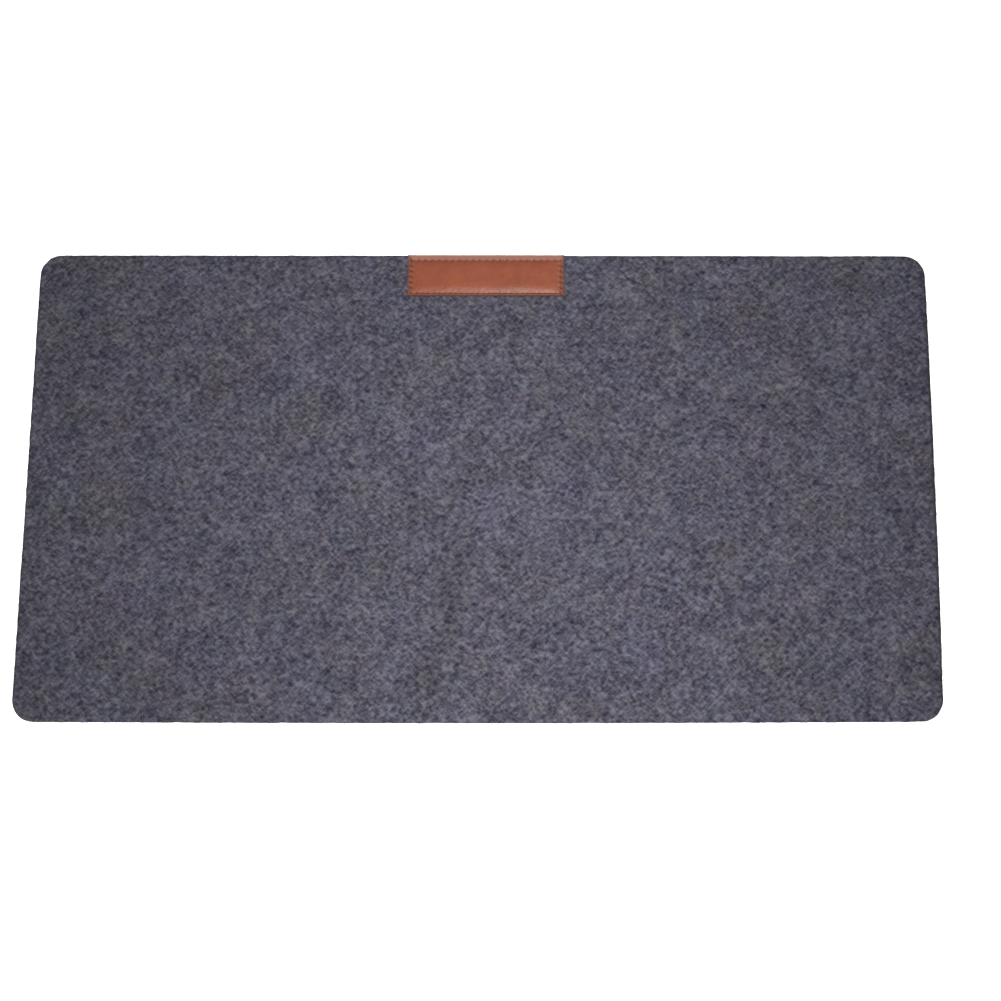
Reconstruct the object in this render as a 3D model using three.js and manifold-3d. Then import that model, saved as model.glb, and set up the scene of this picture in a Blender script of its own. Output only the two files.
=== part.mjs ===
// A felt desk mat with a leather label folded over the middle of its rear edge and sewn on.
// Millimetres. +X runs along the mat, +Y towards its rear edge and +Z up. The origin is under the
// middle of the whole mat, fold of the label included, on the surface that the mat lies on.
import * as THREE from "three";
import { mergeVertices } from "three/addons/utils/BufferGeometryUtils.js";
import Module from "manifold-3d";

const wasm = await Module();
wasm.setup();

// The felt panel.
const MAT_LENGTH = 630;
const MAT_DEPTH = 325;
const FELT_THICKNESS = 3;
const CORNER_RADIUS = 15;
const EDGE_ROUNDING = 0.6;

// The leather strip: LABEL_DEPTH is measured from the outside of the fold to the front of a flap.
const LABEL_LENGTH = 111;
const LABEL_DEPTH = 30.8;
const LABEL_OFFSET_X = 2.2;
const LEATHER_THICKNESS = 0.7;
const FOLD_INNER_RADIUS = 0.8;

// How the seam squeezes the layers. The lower flap hangs just clear of the desk, and the felt is
// pressed thinner between the flaps and ramps down to its full thickness around them.
const DESK_CLEARANCE = 0.25;
const PRESSED_FELT_SPACE = 2.3;
const LAYER_GAP = 0.05;
const SIDE_GAP = 0.3;
const FOLD_GAP = 0.05;
const RAMP_WIDTH = 6;

// The seam: one closed row of lockstitches. The row nearest the fold has longer stitches.
const SEAM_IN_FROM_SIDE = 2.3;
const SEAM_IN_FROM_FRONT = 2;
const SEAM_IN_FROM_FOLD = 4.9;
const STITCHES_FRONT = 27;
const STITCHES_SIDE = 6;
const STITCHES_REAR = 22;
const THREAD_RADIUS = 0.25;
const GROOVE_DEPTH = 0.3;
const GROOVE_WIDTH = 1.3;
const SLIT_LENGTH = 1.24;
const SLIT_WIDTH = 0.64;
const SLIT_TURN = Math.PI / 4;
const LEG_OFFSET = 0.3;
const LEG_GAP = 0.3;

// Places that follow from the sizes above.
const FOLD_OVERHANG = FOLD_GAP + LEATHER_THICKNESS;
const REAR_Y = (MAT_DEPTH - FOLD_OVERHANG) / 2;
const FRONT_Y = REAR_Y - MAT_DEPTH;
const FOLD_Y = REAR_Y + FOLD_OVERHANG;
const LABEL_FRONT_Y = FOLD_Y - LABEL_DEPTH;
const LOWER_FLAP_TOP = DESK_CLEARANCE + LEATHER_THICKNESS;
const UPPER_FLAP_BOTTOM = LOWER_FLAP_TOP + PRESSED_FELT_SPACE;
const LABEL_TOP = UPPER_FLAP_BOTTOM + LEATHER_THICKNESS;
const PRESSED_FELT_BOTTOM = LOWER_FLAP_TOP + LAYER_GAP;
const PRESSED_FELT_TOP = UPPER_FLAP_BOTTOM - LAYER_GAP;
const LABEL_LEFT = LABEL_OFFSET_X - LABEL_LENGTH / 2;
const LABEL_RIGHT = LABEL_OFFSET_X + LABEL_LENGTH / 2;
const SEAM_LEFT = LABEL_LEFT + SEAM_IN_FROM_SIDE;
const SEAM_RIGHT = LABEL_RIGHT - SEAM_IN_FROM_SIDE;
const SEAM_FRONT = LABEL_FRONT_Y + SEAM_IN_FROM_FRONT;
const SEAM_REAR = FOLD_Y - SEAM_IN_FROM_FOLD;
const LOCK_Z = (LOWER_FLAP_TOP + UPPER_FLAP_BOTTOM) / 2;

// Arcs are drawn with twice as many straight pieces as curveSegments says.
const OUTLINE_SEGMENTS = 6;
const FOLD_SEGMENTS = 3;
const THREAD_SIDES = 6;
const CUT_MARGIN = 2;

const FELT = { color: 0x575561, roughness: 0.95, metalness: 0 };
const LEATHER = { color: 0x9c5b47, roughness: 0.5, metalness: 0 };
const THREAD = { color: 0xa06455, roughness: 0.6, metalness: 0 };

// A closed three.js geometry as a solid that can be cut and joined.
function solidOf(geometry) {
  const bare = geometry.clone();
  bare.deleteAttribute("normal");
  bare.deleteAttribute("uv");
  const merged = mergeVertices(bare);
  return new wasm.Manifold(
    new wasm.Mesh({
      numProp: 3,
      vertProperties: merged.attributes.position.array,
      triVerts: new Uint32Array(merged.index.array),
    }),
  );
}

function geometryOf(solid) {
  const { vertProperties, triVerts } = solid.getMesh();
  const geometry = new THREE.BufferGeometry();
  geometry.setAttribute("position", new THREE.BufferAttribute(vertProperties, 3));
  geometry.setIndex(new THREE.BufferAttribute(triVerts, 1));
  geometry.computeVertexNormals();
  return geometry;
}

function rectangle(left, front, right, rear, radius = 0) {
  const shape = new THREE.Shape();
  shape.moveTo(left + radius, front);
  shape.lineTo(right - radius, front);
  if (radius) shape.absarc(right - radius, front + radius, radius, -Math.PI / 2, 0);
  shape.lineTo(right, rear - radius);
  if (radius) shape.absarc(right - radius, rear - radius, radius, 0, Math.PI / 2);
  shape.lineTo(left + radius, rear);
  if (radius) shape.absarc(left + radius, rear - radius, radius, Math.PI / 2, Math.PI);
  shape.lineTo(left, front + radius);
  if (radius) shape.absarc(left + radius, front + radius, radius, Math.PI, 1.5 * Math.PI);
  return shape;
}

function prism(shape, length) {
  return new THREE.ExtrudeGeometry(shape, {
    depth: length,
    bevelEnabled: false,
    curveSegments: FOLD_SEGMENTS,
  });
}

// A (Y, Z) section swept along X, and an (X, Z) section swept along Y.
function sweptAlongX(section, fromX, toX) {
  const axes = new THREE.Matrix4().makeBasis(
    new THREE.Vector3(0, 1, 0),
    new THREE.Vector3(0, 0, 1),
    new THREE.Vector3(1, 0, 0),
  );
  return prism(section, toX - fromX).applyMatrix4(axes).translate(fromX, 0, 0);
}

function sweptAlongY(section, fromY, toY) {
  return prism(section, toY - fromY).rotateX(Math.PI / 2).translate(0, toY, 0);
}

// The block around the label whose left, right and front sides ramp out from nearZ to farZ, and
// which then goes on to endZ.
function rampedBlock(nearZ, farZ, endZ, rearY) {
  const nearLeft = LABEL_LEFT - SIDE_GAP;
  const nearRight = LABEL_RIGHT + SIDE_GAP;
  const nearFront = LABEL_FRONT_Y - SIDE_GAP;
  const farLeft = nearLeft - RAMP_WIDTH;
  const farRight = nearRight + RAMP_WIDTH;
  const farFront = nearFront - RAMP_WIDTH;
  const across = new THREE.Shape([
    new THREE.Vector2(nearLeft, nearZ),
    new THREE.Vector2(farLeft, farZ),
    new THREE.Vector2(farLeft, endZ),
    new THREE.Vector2(farRight, endZ),
    new THREE.Vector2(farRight, farZ),
    new THREE.Vector2(nearRight, nearZ),
  ]);
  const along = new THREE.Shape([
    new THREE.Vector2(nearFront, nearZ),
    new THREE.Vector2(farFront, farZ),
    new THREE.Vector2(farFront, endZ),
    new THREE.Vector2(rearY, endZ),
    new THREE.Vector2(rearY, nearZ),
  ]);
  return solidOf(sweptAlongY(across, farFront - CUT_MARGIN, rearY)).intersect(
    solidOf(sweptAlongX(along, farLeft - CUT_MARGIN, farRight + CUT_MARGIN)),
  );
}

// What is cut from the felt's rear edge so that it ends in a round nose inside the fold.
function noseCutter() {
  const start = REAR_Y - FOLD_INNER_RADIUS;
  const section = new THREE.Shape();
  section.moveTo(start, -CUT_MARGIN);
  section.lineTo(REAR_Y + CUT_MARGIN, -CUT_MARGIN);
  section.lineTo(REAR_Y + CUT_MARGIN, LABEL_TOP + CUT_MARGIN);
  section.lineTo(start, LABEL_TOP + CUT_MARGIN);
  section.lineTo(start, PRESSED_FELT_TOP);
  const upperZ = PRESSED_FELT_TOP - FOLD_INNER_RADIUS;
  const lowerZ = PRESSED_FELT_BOTTOM + FOLD_INNER_RADIUS;
  section.absarc(start, upperZ, FOLD_INNER_RADIUS, Math.PI / 2, 0, true);
  section.absarc(start, lowerZ, FOLD_INNER_RADIUS, 0, -Math.PI / 2, true);
  return solidOf(sweptAlongX(section, LABEL_LEFT - SIDE_GAP, LABEL_RIGHT + SIDE_GAP));
}

// The seam's holes in sewing order, with the direction along which each slit's two legs lie.
function seamHoles() {
  const corners = [
    new THREE.Vector2(SEAM_LEFT, SEAM_FRONT),
    new THREE.Vector2(SEAM_RIGHT, SEAM_FRONT),
    new THREE.Vector2(SEAM_RIGHT, SEAM_REAR),
    new THREE.Vector2(SEAM_LEFT, SEAM_REAR),
  ];
  const counts = [STITCHES_FRONT, STITCHES_SIDE, STITCHES_REAR, STITCHES_SIDE];
  const points = corners.flatMap((corner, side) =>
    Array.from({ length: counts[side] }, (_, i) =>
      corner.clone().lerp(corners[(side + 1) % corners.length], i / counts[side]),
    ),
  );
  return points.map((point, i) => {
    const before = points[(i + points.length - 1) % points.length];
    const after = points[(i + 1) % points.length];
    const come = point.clone().sub(before).normalize();
    const go = after.clone().sub(point).normalize();
    return { point, angle: come.add(go).angle() + SLIT_TURN };
  });
}

const HOLES = seamHoles();

function withStitchHoles(solid) {
  const height = LABEL_TOP + 2 * CUT_MARGIN;
  return HOLES.reduce((cut, { point, angle }) => {
    const slit = new THREE.BoxGeometry(SLIT_LENGTH, SLIT_WIDTH, height)
      .rotateZ(angle)
      .translate(point.x, point.y, LABEL_TOP / 2);
    return cut.subtract(solidOf(slit));
  }, solid);
}

function feltPanel() {
  const outline = rectangle(-MAT_LENGTH / 2, FRONT_Y, MAT_LENGTH / 2, REAR_Y, CORNER_RADIUS);
  const panel = new THREE.ExtrudeGeometry(outline, {
    depth: FELT_THICKNESS - 2 * EDGE_ROUNDING,
    bevelThickness: EDGE_ROUNDING,
    bevelSize: EDGE_ROUNDING,
    bevelOffset: -EDGE_ROUNDING,
    bevelSegments: 2,
    curveSegments: OUTLINE_SEGMENTS,
  }).translate(0, 0, EDGE_ROUNDING);
  const raised = rampedBlock(PRESSED_FELT_TOP, FELT_THICKNESS, FELT_THICKNESS / 2, REAR_Y);
  const recess = rampedBlock(PRESSED_FELT_BOTTOM, 0, -CUT_MARGIN, REAR_Y + CUT_MARGIN);
  return withStitchHoles(solidOf(panel).add(raised).subtract(recess).subtract(noseCutter()));
}

// The channel that the taut stitches press into a flap, as a ring from one height to another.
function grooveCutter(fromZ, toZ) {
  const seamGrownBy = (grow) =>
    rectangle(SEAM_LEFT - grow, SEAM_FRONT - grow, SEAM_RIGHT + grow, SEAM_REAR + grow);
  const ring = seamGrownBy(GROOVE_WIDTH / 2);
  ring.holes.push(seamGrownBy(-GROOVE_WIDTH / 2));
  return solidOf(prism(ring, toZ - fromZ).translate(0, 0, fromZ));
}

function leatherLabel() {
  const outerRadius = FOLD_INNER_RADIUS + LEATHER_THICKNESS;
  const foldStart = FOLD_Y - outerRadius;
  const section = new THREE.Shape();
  section.moveTo(LABEL_FRONT_Y, DESK_CLEARANCE);
  section.lineTo(foldStart, DESK_CLEARANCE);
  section.absarc(foldStart, DESK_CLEARANCE + outerRadius, outerRadius, -Math.PI / 2, 0);
  section.absarc(foldStart, LABEL_TOP - outerRadius, outerRadius, 0, Math.PI / 2);
  section.lineTo(LABEL_FRONT_Y, LABEL_TOP);
  section.lineTo(LABEL_FRONT_Y, UPPER_FLAP_BOTTOM);
  const upperZ = UPPER_FLAP_BOTTOM - FOLD_INNER_RADIUS;
  const lowerZ = LOWER_FLAP_TOP + FOLD_INNER_RADIUS;
  section.absarc(foldStart, upperZ, FOLD_INNER_RADIUS, Math.PI / 2, 0, true);
  section.absarc(foldStart, lowerZ, FOLD_INNER_RADIUS, 0, -Math.PI / 2, true);
  section.lineTo(LABEL_FRONT_Y, LOWER_FLAP_TOP);
  const grooved = solidOf(sweptAlongX(section, LABEL_LEFT, LABEL_RIGHT))
    .subtract(grooveCutter(LABEL_TOP - GROOVE_DEPTH, LABEL_TOP + CUT_MARGIN))
    .subtract(grooveCutter(-CUT_MARGIN, DESK_CLEARANCE + GROOVE_DEPTH));
  return withStitchHoles(grooved);
}

// A polyline that a section can be swept along with exactly one step from point to point.
class ThreadPath extends THREE.Curve {
  constructor(points) {
    super();
    this.points = points;
  }

  getPoint(t, target = new THREE.Vector3()) {
    const place = t * (this.points.length - 1);
    const i = Math.min(Math.floor(place), this.points.length - 2);
    return target.lerpVectors(this.points[i], this.points[i + 1], place - i);
  }

  getUtoTmapping(u) {
    return u;
  }
}

// One thread of the lockstitch, from its end in the first hole all the way round and back into it:
// up a leg, along the leather at runZ, down the next hole's first leg, across at lockZ and up again.
function seamThread(runZ, lockZ) {
  const at = ({ point, angle }, side, z) =>
    new THREE.Vector3(
      point.x + side * LEG_OFFSET * Math.cos(angle),
      point.y + side * LEG_OFFSET * Math.sin(angle),
      z,
    );
  const points = HOLES.flatMap((hole, i) => {
    const next = HOLES[(i + 1) % HOLES.length];
    return [at(hole, 1, lockZ), at(hole, 1, runZ), at(next, -1, runZ), at(next, -1, lockZ)];
  });
  const section = new THREE.Shape().absarc(0, 0, THREAD_RADIUS, 0, 2 * Math.PI);
  return new THREE.ExtrudeGeometry(section, {
    steps: points.length - 1,
    curveSegments: THREAD_SIDES / 2,
    extrudePath: new ThreadPath(points),
  });
}

function named(name, geometry, finish) {
  const mesh = new THREE.Mesh(geometry, new THREE.MeshStandardMaterial(finish));
  mesh.name = name;
  return mesh;
}

const lockOffset = LEG_GAP / 2 + THREAD_RADIUS;
const upperRunZ = LABEL_TOP - GROOVE_DEPTH + LAYER_GAP + THREAD_RADIUS;
const lowerRunZ = DESK_CLEARANCE + GROOVE_DEPTH - LAYER_GAP - THREAD_RADIUS;

const deskMat = new THREE.Group();
deskMat.add(
  named("felt_panel", geometryOf(feltPanel()), FELT),
  named("leather_label", geometryOf(leatherLabel()), LEATHER),
  named("needle_thread", seamThread(upperRunZ, LOCK_Z + lockOffset), THREAD),
  named("bobbin_thread", seamThread(lowerRunZ, LOCK_Z - lockOffset), THREAD),
);

export default deskMat;
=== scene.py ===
import math

import bpy
import numpy as np
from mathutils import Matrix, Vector


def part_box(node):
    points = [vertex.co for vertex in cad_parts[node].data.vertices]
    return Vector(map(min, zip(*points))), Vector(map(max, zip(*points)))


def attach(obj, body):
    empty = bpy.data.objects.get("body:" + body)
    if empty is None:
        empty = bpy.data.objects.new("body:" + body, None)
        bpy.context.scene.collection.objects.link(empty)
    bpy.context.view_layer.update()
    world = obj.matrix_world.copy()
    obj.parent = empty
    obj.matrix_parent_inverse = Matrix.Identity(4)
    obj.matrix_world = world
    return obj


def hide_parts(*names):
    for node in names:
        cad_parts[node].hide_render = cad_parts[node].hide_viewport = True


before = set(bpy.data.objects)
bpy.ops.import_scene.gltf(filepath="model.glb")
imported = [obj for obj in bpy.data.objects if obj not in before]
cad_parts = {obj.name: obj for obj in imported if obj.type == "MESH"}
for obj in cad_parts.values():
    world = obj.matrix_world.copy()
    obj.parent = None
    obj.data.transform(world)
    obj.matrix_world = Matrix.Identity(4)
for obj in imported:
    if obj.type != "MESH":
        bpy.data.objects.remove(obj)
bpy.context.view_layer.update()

# Metres throughout, in the CAD's frame: +X along the mat, +Y to its rear edge, +Z up from the desk.
MM = 0.001
BODY = "root"

# ---------------------------------------------------------------------------------------------
# Places from the CAD, the CAD's sizes that its boxes don't say, and the seam's.
# ---------------------------------------------------------------------------------------------
FELT_LO, FELT_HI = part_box("felt_panel")
LABEL_LO, LABEL_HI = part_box("leather_label")
NEEDLE_LO, NEEDLE_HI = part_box("needle_thread")
BOBBIN_LO, BOBBIN_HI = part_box("bobbin_thread")

FELT_THICKNESS = 3.0 * MM
CORNER_RADIUS = 15 * MM
LEATHER = 0.7 * MM
FOLD_INNER = 0.8 * MM
LAYER_GAP = 0.05 * MM
SIDE_GAP = 0.3 * MM
RAMP_WIDTH = 6 * MM
THREAD_RADIUS = 0.25 * MM
SEAM_IN_FROM_SIDE = 2.3 * MM
SEAM_IN_FROM_FRONT = 2.0 * MM
SEAM_IN_FROM_FOLD = 4.9 * MM
SLIT_TURN = math.pi / 4

# The seam's four rows in sewing order: along the front, up the right side, along the fold and down
# the left side. Its stitches, and how hard they pull the leather in.
STITCHES = (27, 6, 22, 6)
STITCH_PULL = (0.16, 1.15, 0.42, 1.25)

# The slits are 0.14 mm longer and 0.06 mm wider than in the CAD, so that the twisted thread, which
# is thicker than the CAD's, has room in them.
SLIT_LENGTH = 1.38 * MM
SLIT_WIDTH = 0.70 * MM
LEG_REACH = 0.34 * MM

HALF_X = (FELT_HI.x - FELT_LO.x) / 2
HALF_Y = (FELT_HI.y - FELT_LO.y) / 2
MID_X = (FELT_HI.x + FELT_LO.x) / 2
MID_Y = (FELT_HI.y + FELT_LO.y) / 2
PRESSED_TOP = FELT_HI.z
PRESSED_BOTTOM = LABEL_LO.z + LEATHER + LAYER_GAP
SEAM_LEFT = LABEL_LO.x + SEAM_IN_FROM_SIDE
SEAM_RIGHT = LABEL_HI.x - SEAM_IN_FROM_SIDE
SEAM_FRONT = LABEL_LO.y + SEAM_IN_FROM_FRONT
SEAM_REAR = LABEL_HI.y - SEAM_IN_FROM_FOLD


# ---------------------------------------------------------------------------------------------
# Small helpers.
# ---------------------------------------------------------------------------------------------
TINY = 1e-9


def smooth(value):
    """0 to 1 with flat ends, for a value from 0 to 1."""
    t = np.clip(value, 0, 1)
    return t * t * (3 - 2 * t)


WAVE_COUNT = 14
WAVELENGTH_SPREAD = (0.75, 1.45)


def waves(x, y, wavelength, seed):
    """A smooth uneven surface of about unit height, whose bumps are about a wavelength apart."""
    rng = np.random.default_rng(seed)
    total = np.zeros(np.broadcast(x, y).shape)
    for _ in range(WAVE_COUNT):
        heading = rng.uniform(0, math.tau)
        number = math.tau / (wavelength * rng.uniform(*WAVELENGTH_SPREAD))
        phase = rng.uniform(0, math.tau)
        total += np.cos(number * (x * math.cos(heading) + y * math.sin(heading)) + phase)
    return total / math.sqrt(WAVE_COUNT / 2)


def waves_together(x, y, parts):
    """Waves of several sizes over one another. A part is (height, wavelength in mm, seed)."""
    return sum(height * waves(x, y, length * MM, seed) for height, length, seed in parts)


SAME_MARK_DIGITS = 7
STEP_SLACK = 1e-6


def lines(marks, step):
    """The marks, with the gaps between them divided evenly so that none is wider than a step."""
    marks = sorted(set(round(m, SAME_MARK_DIGITS) for m in marks))
    found = []
    for a, b in zip(marks, marks[1:]):
        pieces = max(1, math.ceil((b - a) / step - STEP_SLACK))
        found.extend(a + (b - a) * i / pieces for i in range(pieces))
    return np.array(found + [marks[-1]])


def object_of(name, vertices, faces):
    mesh = bpy.data.meshes.new(name)
    mesh.from_pydata(np.asarray(vertices).tolist(), [], faces)
    mesh.update()
    made = bpy.data.objects.new(name, mesh)
    bpy.context.scene.collection.objects.link(made)
    mesh.shade_smooth()
    return made


def slab(name, top, bottom, wall_rows):
    """A closed solid between two grids of points, with rows of points on its side wall."""
    nx, ny = top.shape[:2]
    count = nx * ny
    grid = np.arange(count).reshape(nx, ny)
    a, b, c, d = grid[:-1, :-1], grid[1:, :-1], grid[1:, 1:], grid[:-1, 1:]
    upper = np.stack([a, b, c, d], -1).reshape(-1, 4)
    lower = upper[:, ::-1] + count
    loop = np.concatenate([grid[:-1, 0], grid[-1, :-1], grid[:0:-1, -1], grid[0, :0:-1]])
    points = [top.reshape(-1, 3), bottom.reshape(-1, 3)]
    rings = [loop]
    used = 2 * count
    for row in range(1, wall_rows):
        share = row / wall_rows
        points.append(points[0][loop] * (1 - share) + points[1][loop] * share)
        rings.append(np.arange(used, used + len(loop)))
        used += len(loop)
    rings.append(loop + count)
    walls = [
        np.stack([high, low, np.roll(low, -1), np.roll(high, -1)], -1)
        for high, low in zip(rings, rings[1:])
    ]
    faces = np.concatenate([upper, lower, *walls])
    return object_of(name, np.concatenate(points), faces.tolist())


def vertices_of(piece):
    found = np.zeros(len(piece.data.vertices) * 3)
    piece.data.vertices.foreach_get("co", found)
    return found.reshape(-1, 3)


def set_attribute(piece, name, values):
    made = piece.data.attributes.new(name, "FLOAT", "POINT")
    made.data.foreach_set("value", np.asarray(values, np.float32))


# ---------------------------------------------------------------------------------------------
# The seam's holes, in sewing order.
# ---------------------------------------------------------------------------------------------
def seam_holes():
    corners = np.array(
        [
            (SEAM_LEFT, SEAM_FRONT),
            (SEAM_RIGHT, SEAM_FRONT),
            (SEAM_RIGHT, SEAM_REAR),
            (SEAM_LEFT, SEAM_REAR),
        ]
    )
    points = []
    for side, count in enumerate(STITCHES):
        start, end = corners[side], corners[(side + 1) % 4]
        points.extend(start + (end - start) * i / count for i in range(count))
    points = np.array(points)
    come = points - np.roll(points, 1, 0)
    go = np.roll(points, -1, 0) - points
    heading = come / np.linalg.norm(come, axis=1)[:, None]
    heading = heading + go / np.linalg.norm(go, axis=1)[:, None]
    return points, np.arctan2(heading[:, 1], heading[:, 0]) + SLIT_TURN


HOLES, HOLE_ANGLES = seam_holes()


def seam_distance(x, y):
    """How far a point is from the seam's line, less than 0 inside the seam."""
    dx = np.abs(x - (SEAM_LEFT + SEAM_RIGHT) / 2) - (SEAM_RIGHT - SEAM_LEFT) / 2
    dy = np.abs(y - (SEAM_FRONT + SEAM_REAR) / 2) - (SEAM_REAR - SEAM_FRONT) / 2
    outside = np.hypot(np.maximum(dx, 0), np.maximum(dy, 0))
    return outside + np.minimum(np.maximum(dx, dy), 0)


SLIT_REACH = 10 * MM
SHARP_ANGLE = math.radians(55)


def with_slits(piece):
    """Cuts the seam's holes through a piece, from top to bottom."""
    vertices, faces = [], []
    for (x, y), angle in zip(HOLES, HOLE_ANGLES):
        along = np.array([math.cos(angle), math.sin(angle)]) * SLIT_LENGTH / 2
        across = np.array([-math.sin(angle), math.cos(angle)]) * SLIT_WIDTH / 2
        first = len(vertices)
        plan = [-along - across, along - across, along + across, across - along]
        for z in (-SLIT_REACH, SLIT_REACH):
            vertices.extend((x + dx, y + dy, z) for dx, dy in plan)
        faces.append([first + i for i in (3, 2, 1, 0)])
        faces.append([first + i for i in (4, 5, 6, 7)])
        for i in range(4):
            j = (i + 1) % 4
            faces.append([first + i, first + j, first + j + 4, first + i + 4])
    cutter = object_of("slit_cutter", vertices, faces)
    modifier = piece.modifiers.new("slits", "BOOLEAN")
    modifier.operation = "DIFFERENCE"
    modifier.solver = "MANIFOLD"
    modifier.object = cutter
    bpy.context.view_layer.update()
    depsgraph = bpy.context.evaluated_depsgraph_get()
    cut = bpy.data.meshes.new_from_object(piece.evaluated_get(depsgraph))
    piece.modifiers.clear()
    piece.data = cut
    cutter_mesh = cutter.data
    bpy.data.objects.remove(cutter)
    bpy.data.meshes.remove(cutter_mesh)
    cut.materials.clear()
    cut.shade_smooth()
    cut.set_sharp_from_angle(angle=SHARP_ANGLE)
    return piece


# ---------------------------------------------------------------------------------------------
# The felt: one cut sheet, pressed thinner between the flaps of the label.
# ---------------------------------------------------------------------------------------------
RIM_RADIUS = 0.8 * MM
RIM_ROWS = [d * MM for d in (0, 0.1, 0.26, 0.5, 0.8, 1.2, 1.7, 2.4, 3.3, 4.4, 6, 8, 10, 12.5, 15)]
RIM_DIP = 0.16 * MM
RIM_DIP_WIDTH = 3.2 * MM
EDGE_WOBBLE = 0.11 * MM
EDGE_WOBBLE_DEPTH = 3.5 * MM
# Waves are (height, wavelength in mm, seed). The felt's and the leather's heights are in mm too.
EDGE_WAVES = ((0.6, 9, 11), (0.4, 3.2, 12))
FELT_WAVES = ((0.10, 95, 21), (0.045, 34, 22), (0.028, 9.5, 23), (0.02, 6, 24))
FRONT_BOW = 1.0 * MM
RIGHT_BOW = 1.1 * MM
RAMP_ROWS = [d * MM for d in (0, 1, 2, 3, 4, 5, 6)]
FELT_STEP = 2.55 * MM
FELT_WALL_ROWS = 4
# Painted shade of the felt's rounded cut edge, kept off the front edge, which faces the light.
RIM_SHADE_WIDTH = 2.3 * MM
FRONT_RIM_REACH = 9 * MM
FRONT_RIM_FADE = 7 * MM
FRONT_RIM_LOSS = 0.95


def label_distance(x, y):
    """How far a point of the felt is outside the label's outline and its gap, in plan."""
    dx = np.maximum(LABEL_LO.x - SIDE_GAP - x, x - LABEL_HI.x - SIDE_GAP)
    dy = LABEL_LO.y - SIDE_GAP - y
    return np.hypot(np.maximum(dx, 0), np.maximum(dy, 0))


def felt_insets(x, y):
    """How far a point is in from the felt's left or right side, and from its front or rear."""
    return HALF_X - np.abs(x - MID_X), HALF_Y - np.abs(y - MID_Y)


def felt_plan(x, y):
    """The felt's outline with its corners rounded, its cut edge uneven, and its front and right
    sides bowed. Gives the moved x and y, the way in from the edge, and the direction outward."""
    side_x = np.where(x < MID_X, -1.0, 1.0)
    side_y = np.where(y < MID_Y, -1.0, 1.0)
    in_x, in_y = felt_insets(x, y)
    depth = np.minimum(in_x, in_y)
    dx = (CORNER_RADIUS - in_x) / CORNER_RADIUS
    dy = (CORNER_RADIUS - in_y) / CORNER_RADIUS
    corner = (dx > 0) & (dy > 0)
    reach = np.maximum(np.hypot(dx, dy), TINY)
    share = np.where(corner, np.maximum(dx, dy) / reach, 1.0)
    new_x = np.where(corner, MID_X + side_x * (HALF_X - CORNER_RADIUS * (1 - dx * share)), x)
    new_y = np.where(corner, MID_Y + side_y * (HALF_Y - CORNER_RADIUS * (1 - dy * share)), y)
    out_x = np.where(corner, side_x * dx / reach, np.where(in_x < in_y, side_x, 0.0))
    out_y = np.where(corner, side_y * dy / reach, np.where(in_x < in_y, 0.0, side_y))
    wobble = waves_together(new_x, new_y, EDGE_WAVES)
    wobble = wobble * EDGE_WOBBLE * (1 - smooth(depth / EDGE_WOBBLE_DEPTH))
    wobble = wobble * smooth(label_distance(new_x, new_y) / RAMP_WIDTH)
    bow = FRONT_BOW * (1 - ((new_x - MID_X) / HALF_X) ** 2)
    bow = bow * smooth((MID_Y - new_y) / HALF_Y)
    side_bow = RIGHT_BOW * (1 - ((new_y - MID_Y) / HALF_Y) ** 2)
    side_bow = side_bow * smooth((new_x - MID_X) / HALF_X)
    new_x = new_x + out_x * wobble + side_bow
    return new_x, new_y + out_y * wobble - bow, depth, out_x, out_y


def felt_heights(x, y, depth):
    """The felt's top and underside at a point, by its place and its way in from the edge."""
    pressed = 1 - smooth(label_distance(x, y) / RAMP_WIDTH)
    free = 1 - pressed
    uneven = waves_together(x, y, FELT_WAVES)
    top = FELT_THICKNESS + free * uneven * MM + pressed * (PRESSED_TOP - FELT_THICKNESS)
    top = top - free * RIM_DIP * (1 - smooth(depth / RIM_DIP_WIDTH))
    bottom = pressed * PRESSED_BOTTOM
    inward = np.clip(RIM_RADIUS - depth, 0, RIM_RADIUS)
    drop = RIM_RADIUS - np.sqrt(RIM_RADIUS**2 - inward**2)
    return top - drop, bottom + drop


def felt_sheet():
    near_left = LABEL_LO.x - SIDE_GAP
    near_right = LABEL_HI.x + SIDE_GAP
    near_front = LABEL_LO.y - SIDE_GAP
    marks_x = [FELT_LO.x + d for d in RIM_ROWS] + [FELT_HI.x - d for d in RIM_ROWS]
    marks_x += [near_left - d for d in RAMP_ROWS] + [near_right + d for d in RAMP_ROWS]
    marks_y = [FELT_LO.y + d for d in RIM_ROWS] + [FELT_HI.y - d for d in RIM_ROWS]
    marks_y += [near_front - d for d in RAMP_ROWS]
    x, y = np.meshgrid(lines(marks_x, FELT_STEP), lines(marks_y, FELT_STEP), indexing="ij")
    plan_x, plan_y, depth, _, _ = felt_plan(x, y)
    top, bottom = felt_heights(plan_x, plan_y, depth)
    upper = np.stack([plan_x, plan_y, top], -1)
    lower = np.stack([plan_x, plan_y, bottom], -1)
    return with_slits(slab("felt_sheet", upper, lower, FELT_WALL_ROWS))


def rim_shade_values(points):
    """Painted shade of the felt's rounded cut edge: 1 at the edge, falling to 0 a little way in,
    and close to 0 along the front, where the light falls on the edge.
    """
    in_x, in_y = felt_insets(points[:, 0], points[:, 1])
    dx = CORNER_RADIUS - in_x
    dy = CORNER_RADIUS - in_y
    corner = (dx > 0) & (dy > 0)
    depth = np.where(corner, CORNER_RADIUS - np.hypot(dx, dy), np.minimum(in_x, in_y))
    front = smooth((FELT_LO.y + FRONT_RIM_REACH - points[:, 1]) / FRONT_RIM_FADE)
    return (1 - smooth(depth / RIM_SHADE_WIDTH)) * (1 - FRONT_RIM_LOSS * front)


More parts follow.
